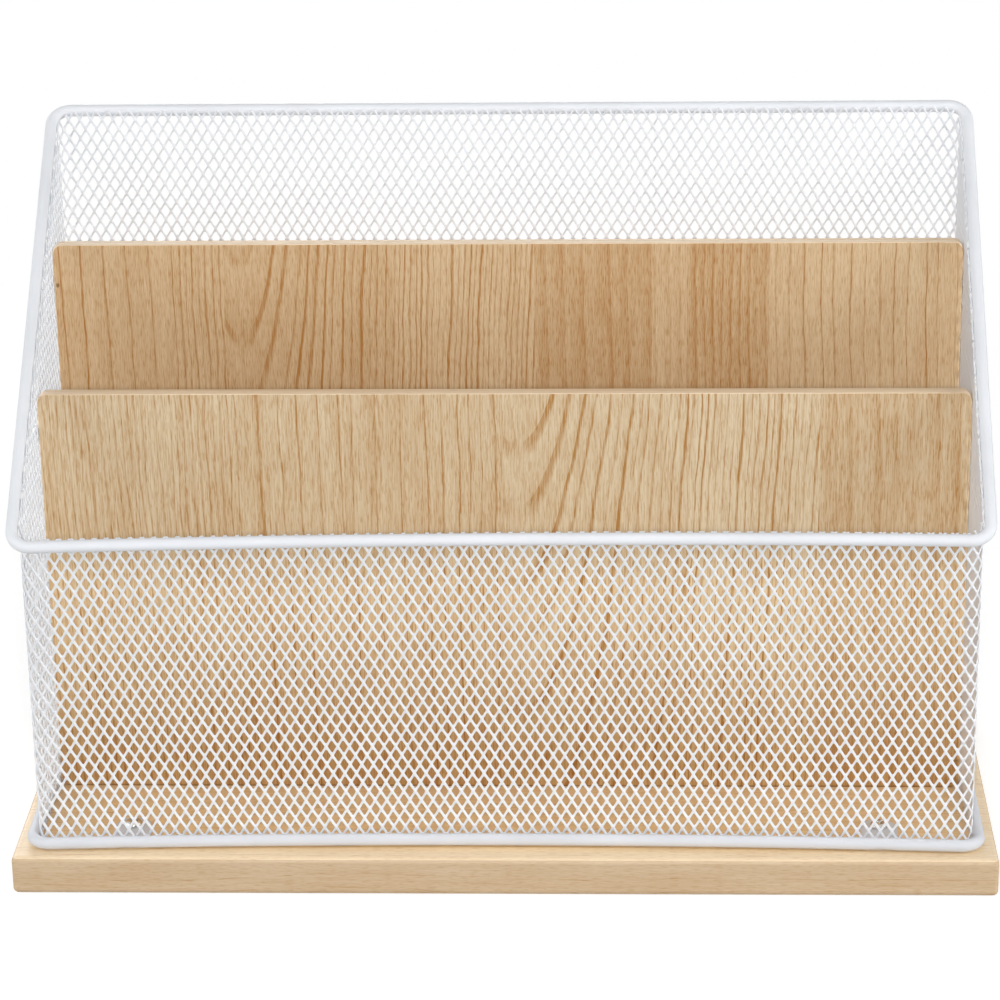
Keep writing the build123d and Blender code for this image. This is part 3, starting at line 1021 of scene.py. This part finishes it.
class SORTER_OT_screws(Operator):
    """Sets the pan head screws in the tabs and in the ends of the dividers"""

    bl_idname = "sorter.screws"
    bl_label = "Screws"

    def execute(self, context):
        screw = context.scene.sorter.screw
        zinc = finish_named("Bright zinc", zinc_material, context.scene.sorter.finish)
        blank = screw_blank(screw)
        tree = screw_tree()

        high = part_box("tab_screws")[1]
        tab_x, tab_y = high.x - screw.head_radius, high.y - screw.head_radius
        seat = high.z - screw.head_height
        tab_places = [(Vector((x * tab_x, y * tab_y, seat)), UP) for x in (-1, 1) for y in (-1, 1)]

        divider_places = []
        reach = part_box("divider_screws")[1].x - screw.head_height
        for node in ("front_divider_edging", "rear_divider_edging"):
            low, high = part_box(node)
            for side in (-1, 1):
                for level in (board_top + screw.lower_inset, high.z - screw.upper_inset):
                    place = Vector((side * reach, (low.y + high.y) / 2, level))
                    divider_places.append((place, Vector((side, 0, 0))))

        for node, places in (("tab_screws", tab_places), ("divider_screws", divider_places)):
            mesh = bpy.data.meshes.new(node)
            mesh.from_pydata([place for place, _ in places], [], [])
            facing = mesh.attributes.new("facing", "FLOAT_VECTOR", "POINT")
            facing.data.foreach_set("vector", [part for _, way in places for part in way])
            values = {"Screw": blank, "Seed": screw.seed, "Material": zinc}
            piece = grow(link(f"{node}_set", mesh), tree, values)
            mark_sharp(piece.data)
            finish_piece(piece, "screw_steel", node)
        discard(blank)
        return {"FINISHED"}


def mark_sharp(mesh, angle=math.radians(35)):
    """Keeps edges past an angle crisp in a smooth mesh."""
    mesh.shade_smooth()
    mesh.set_sharp_from_angle(angle=angle)


class SORTER_OT_tabs(Operator):
    """Makes the tabs that hold the ring to the board"""

    bl_idname = "sorter.tabs"
    bl_label = "Tabs"

    def execute(self, context):
        wire, screw = context.scene.sorter.wire, context.scene.sorter.screw
        for node in ("front_left_tab", "front_right_tab", "rear_left_tab", "rear_right_tab"):
            low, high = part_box(node)
            half = (high.x - low.x) / 2
            inward = 1 if high.y < 0 else -1
            root, tip = (low.y, high.y) if inward > 0 else (high.y, low.y)
            root -= inward * wire.tab_overlap
            centre = Vector(((low.x + high.x) / 2, tip - inward * half))
            outline = [Vector((low.x, root)), Vector((high.x, root))]
            angles = [math.pi * step / TAB_STEPS for step in range(TAB_STEPS + 1)]
            outline += [centre + Vector((half * math.cos(a), inward * half * math.sin(a))) for a in angles]
            if inward < 0:
                outline.reverse()
            piece = link(f"{node}_plate", mesh_from(prism(outline, outline, low.z, high.z), node))
            circle = [2 * math.pi * step / TAB_STEPS for step in range(TAB_STEPS)]
            radius = 1.1 * screw.shank_radius
            bore = [centre + Vector((radius * math.cos(a), radius * math.sin(a))) for a in circle]
            cut_away(piece, link("bore", mesh_from(prism(bore, bore, low.z - MM, high.z + MM), "bore")))
            bevel = piece.modifiers.new("Ease", "BEVEL")
            bevel.width = wire.tab_easing
            bevel.segments = 3
            bevel.limit_method = "ANGLE"
            bevel.angle_limit = math.radians(60)
            settle(piece)
            piece.data.materials.append(coat(context))
            mark_sharp(piece.data)
            finish_piece(piece, "white_coat", node)
        return {"FINISHED"}


class SORTER_OT_dividers(Operator):
    """Gives the dividers their wood-look faces and edging"""

    bl_idname = "sorter.dividers"
    bl_label = "Dividers"

    def execute(self, context):
        board = context.scene.sorter.board
        screw = context.scene.sorter.screw
        looks = {
            # The last value asks for painted light below the rim and painted shade towards the foot
            "front_divider": (FRONT_STAVES, (1, 1, 1), 0.3, True),
            # The rear divider's tint is partly its own tone and partly painted shade
            "rear_divider": (REAR_STAVES, board.rear_tone_and_shade, 0.9, False),
        }
        for node, (staves, tint, amber, painted_light_and_shade) in looks.items():
            low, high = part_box(f"{node}_edging")
            core_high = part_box(node)[1]
            chips = {
                "front_divider": (high.x - CHIP_INSET, board_top + screw.lower_inset),
                "rear_divider": (low.x + CHIP_INSET, high.z - screw.upper_inset),
            }
            chip = [part / MM for part in chips[node]]
            width, foot = high.x - low.x, low.z / MM
            face = divider_material(f"{node} wood", staves, tint, board, width, foot, painted_light_and_shade, chip)
            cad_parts[node].material_slots[0].material = face
            tape = tape_material(f"{node} edging", board, high.y / MM, amber)
            piece = link(f"{node}_tape", self.tape_loop(board, low, high, high.x - core_high.x))
            piece.data.materials.append(tape)
            piece.data.materials.append(face)
            for polygon in piece.data.polygons:
                polygon.material_index = 1 if abs(polygon.normal.y) > 0.9 else 0
            mark_sharp(piece.data, math.radians(50))
            finish_piece(piece, "wood_edging", f"{node}_edging")
        return {"FINISHED"}

    def tape_loop(self, board, low, high, thickness):
        """A strip of edging round a divider, its outer edges eased."""
        middle = (low + high) / 2
        half_depth = (high.y - low.y) / 2
        corners = [
            Vector((high.x, middle.y, low.z)), Vector((high.x, middle.y, high.z)),
            Vector((low.x, middle.y, high.z)), Vector((low.x, middle.y, low.z)),
        ]
        points = rounded_loop(corners, board.corner_radius, TAPE_CORNER_STEPS)
        ease = board.tape_easing
        section = [(-thickness, -half_depth), (-thickness, half_depth)]
        angles = [math.pi / 2 * step / 4 for step in range(5)]
        section += [(ease * (math.sin(a) - 1), half_depth + ease * (math.cos(a) - 1)) for a in angles]
        section += [(ease * (math.cos(a) - 1), -half_depth + ease * (1 - math.sin(a))) for a in angles]
        bm = bmesh.new()
        rings = []
        for number, point in enumerate(points):
            ahead = points[(number + 1) % len(points)] - point
            coming = point - points[number - 1]
            run = ahead.normalized() + coming.normalized()
            outward = Vector((run.z, 0, -run.x)).normalized()
            rings.append([bm.verts.new(point + outward * out + Vector((0, y, 0))) for out, y in section])
        for number, ring in enumerate(rings):
            before = rings[number - 1]
            for step in range(len(section)):
                bm.faces.new((before[step - 1], before[step], ring[step], ring[step - 1]))
        bmesh.ops.recalc_face_normals(bm, faces=bm.faces[:])
        return mesh_from(bm, "tape")


class SORTER_OT_base(Operator):
    """Gives the base board its wood-look faces"""

    bl_idname = "sorter.base"
    bl_label = "Base Board"

    def execute(self, context):
        board = context.scene.sorter.board
        faces = {
            # The face's paler colour is painted light from above
            "base_board": base_material("Base board face", board.base, board.dark, -0.1, False),
            "board_edging": base_material("Base board edging", board.base_edge, board.dark, 0.08, True),
        }
        for node, material in faces.items():
            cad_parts[node].material_slots[0].material = material
        return {"FINISHED"}


class SORTER_OT_stage(Operator):
    """Sets the floor, the lamps and the camera"""

    bl_idname = "sorter.stage"
    bl_label = "Stage"

    def execute(self, context):
        stage = context.scene.sorter.stage
        context.scene.view_settings.view_transform = "Standard"
        self.floor(stage)
        self.sky(context, stage)
        self.lamp("Key", stage.key, (0.15, -0.9, 1.5), (1.6, 1.1))
        self.lamp("Flash", stage.flash, stage.camera_place, (0.08, 0.08))
        self.lamp("Right", stage.right, (1.3, -0.5, 0.55), (1.0, 0.8))
        self.lamp("Left", stage.left, (-1.3, -0.3, 0.55), (1.0, 0.8))
        self.lamp("Back", stage.back, (-0.5, 1.9, 0.6), (1.6, 0.9))
        self.camera(context, stage)
        return {"FINISHED"}

    def seen(self, tree):
        """1 for rays from the camera and for what shows in gloss and glass, else 0."""
        path = tree.add("ShaderNodeLightPath")
        seen = tree.math("MAXIMUM", path["Is Camera Ray"], path["Is Glossy Ray"])
        return tree.math("MAXIMUM", seen, path["Is Transmission Ray"])

    def floor(self, stage):
        bm = bmesh.new()
        bmesh.ops.create_grid(bm, x_segments=1, y_segments=1, size=FLOOR_REACH)
        floor = link("floor", mesh_from(bm, "floor"))
        material = bpy.data.materials.new("Studio floor")
        material.use_nodes = True
        tree = Tree(material.node_tree)
        tree.tree.nodes.clear()
        away = tree.distance(tree.place())
        clear = tree.span(away, stage.clear_from, stage.clear_to, interpolation_type="SMOOTHSTEP")
        matt = tree.add("ShaderNodeBsdfDiffuse", {"Color": colour_of(stage.floor)})[0]
        glow = tree.add("ShaderNodeEmission", {"Strength": stage.glow})[0]
        near = tree.add("ShaderNodeAddShader", {0: matt, 1: glow})[0]
        white = tree.add("ShaderNodeEmission", {"Strength": 1.0})[0]
        shown = tree.add("ShaderNodeMixShader", {0: clear, 1: near, 2: white})[0]
        surface = tree.add("ShaderNodeMixShader", {0: self.seen(tree), 1: matt, 2: shown})[0]
        tree.add("ShaderNodeOutputMaterial", {"Surface": surface})
        floor.data.materials.append(material)

    def sky(self, context, stage):
        world = bpy.data.worlds.new("Studio")
        world.use_nodes = True
        context.scene.world = world
        tree = Tree(world.node_tree)
        tree.tree.nodes.clear()
        strength = tree.span(self.seen(tree), 0, 1, stage.sky, 1.0)
        light = tree.add("ShaderNodeBackground", {"Color": (1, 1, 1, 1), "Strength": strength})[0]
        tree.add("ShaderNodeOutputWorld", {"Surface": light})

    def lamp(self, name, power, place, size):
        lamp = bpy.data.lights.new(name, "AREA")
        lamp.shape = "RECTANGLE"
        lamp.size, lamp.size_y = size
        lamp.energy = power
        thing = link(name, lamp)
        thing.location = place
        aim = LAMP_AIM - thing.location
        thing.rotation_euler = aim.to_track_quat("-Z", "Y").to_euler()

    def camera(self, context, stage):
        camera = bpy.data.cameras.new("Camera")
        camera.lens = stage.lens
        camera.sensor_fit = "HORIZONTAL"
        camera.clip_start, camera.clip_end = 0.01, 50
        level = Vector((-math.sin(stage.yaw), math.cos(stage.yaw), 0))
        forward = level * math.cos(stage.pitch) - UP * math.sin(stage.pitch)
        right = Vector((math.cos(stage.yaw), math.sin(stage.yaw), 0))
        upward = right.cross(forward)
        turn = Matrix((right, upward, -forward)).transposed() @ Matrix.Rotation(stage.roll, 3, "Z")
        thing = link("Camera", camera)
        thing.matrix_world = Matrix.Translation(stage.camera_place) @ turn.to_4x4()
        context.scene.camera = thing


STEPS = (
    SORTER_OT_base, SORTER_OT_dividers, SORTER_OT_sheet, SORTER_OT_wire, SORTER_OT_tabs, SORTER_OT_screws,
    SORTER_OT_stage,
)


class SORTER_PT_panel(Panel):
    """Lists the steps in order, with their settings"""

    bl_label = "Letter Sorter"
    bl_idname = "SORTER_PT_panel"
    bl_space_type = "VIEW_3D"
    bl_region_type = "UI"
    bl_category = "Letter Sorter"

    def draw(self, context):
        for step in STEPS:
            self.layout.operator(step.bl_idname)
        settings = context.scene.sorter
        for group in ("sheet", "wire", "screw", "board", "finish", "stage"):
            box = self.layout.box()
            box.label(text=group.title())
            values = getattr(settings, group)
            for name in values.__annotations__:
                box.prop(values, name)


CLASSES = (
    SheetSettings, WireSettings, ScrewSettings, BoardSettings, FinishSettings, StageSettings, SorterSettings,
    *STEPS, SORTER_PT_panel,
)


def register():
    for item in CLASSES:
        bpy.utils.register_class(item)
    bpy.types.Scene.sorter = PointerProperty(type=SorterSettings)


def unregister():
    del bpy.types.Scene.sorter
    for item in reversed(CLASSES):
        bpy.utils.unregister_class(item)


def main():
    register()
    bpy.ops.sorter.base()
    bpy.ops.sorter.dividers()
    bpy.ops.sorter.sheet()
    bpy.ops.sorter.wire()
    bpy.ops.sorter.tabs()
    bpy.ops.sorter.screws()
    bpy.ops.sorter.stage()


if __name__ == "__main__":
    main()
